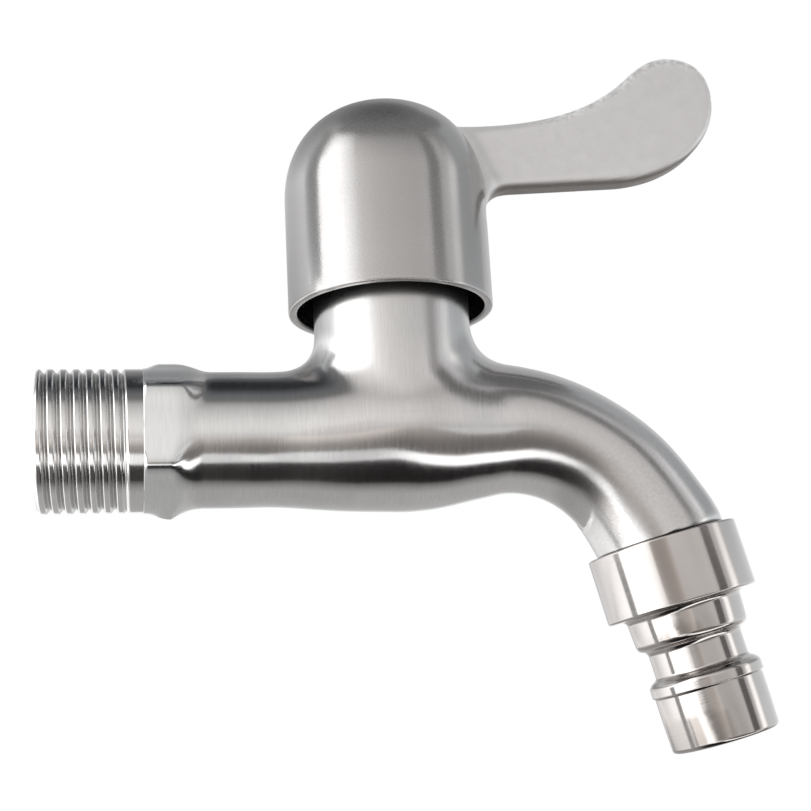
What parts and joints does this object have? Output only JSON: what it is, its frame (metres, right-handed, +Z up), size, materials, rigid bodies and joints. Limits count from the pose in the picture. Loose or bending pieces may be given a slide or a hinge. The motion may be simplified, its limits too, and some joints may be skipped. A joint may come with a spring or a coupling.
{
  "type": "washing machine tap",
  "caption": "Wall bib tap with domed quarter-turn lever handle, cast curved spout, hex boss, threaded inlet and screwed-on stepped hose nozzle.",
  "frame": {"origin": "on the inlet axis, in the plane where the hex boss meets the wall fitting", "axes": "+X from the wall outwards along the pipe, +Z up along the valve axis, Y across the tap"},
  "size_m": [0.1085, 0.0314, 0.1126],
  "materials": {
    "cast_steel": "satin, brushed round the pipe and spout",
    "handle_steel": "satin dome with a bead-blasted lever",
    "turned_steel": "turned and polished",
    "brass": "machined",
    "spring_steel": "plain bright",
    "ceramic": "lapped alumina",
    "rubber": "moulded",
    "slide_plastic": "moulded, grey"
  },
  "bodies": {
    "tap_body": {"tap_body": "cast_steel", "headwork_housing": "brass", "housing_o_ring": "rubber", "seat_seal": "rubber", "seal_core_ring": "spring_steel", "fixed_disc": "ceramic", "noise_screen": "spring_steel", "thrust_washer": "slide_plastic"},
    "handle": {"handle": "handle_steel", "handle_set_screw": "spring_steel", "screw_cap": "slide_plastic", "stem": "brass", "stem_clip": "spring_steel", "stem_o_ring_lower": "rubber", "stem_o_ring_upper": "rubber", "moving_disc": "ceramic", "spline_insert": "slide_plastic"},
    "nozzle_draw": {"nozzle_washer": "rubber", "nozzle_filter": "spring_steel"},
    "hose_nozzle": {"hose_nozzle": "turned_steel"}
  },
  "joints": [
    {"name": "handle_turn", "type": "hinge", "parent": "tap_body", "child": "handle", "pos_m": [0.0378, 0, 0.03], "axis": [0, 0, 1], "range_deg": [0, 90]},
    {"name": "nozzle_draw", "type": "slide", "parent": "tap_body", "child": "nozzle_draw", "axis": [0.2368, 0, -0.9715], "range_m": [0, 0.0072]},
    {"name": "nozzle_turn", "type": "hinge", "parent": "nozzle_draw", "child": "hose_nozzle", "pos_m": [0.08151, 0, -0.03107], "axis": [0.2368, 0, -0.9715], "range_deg": [0, 2592]}
  ],
  "couplings": [
    {"joint": "nozzle_draw", "follows": "nozzle_turn", "m_per_rad": 0.00015915}
  ]
}
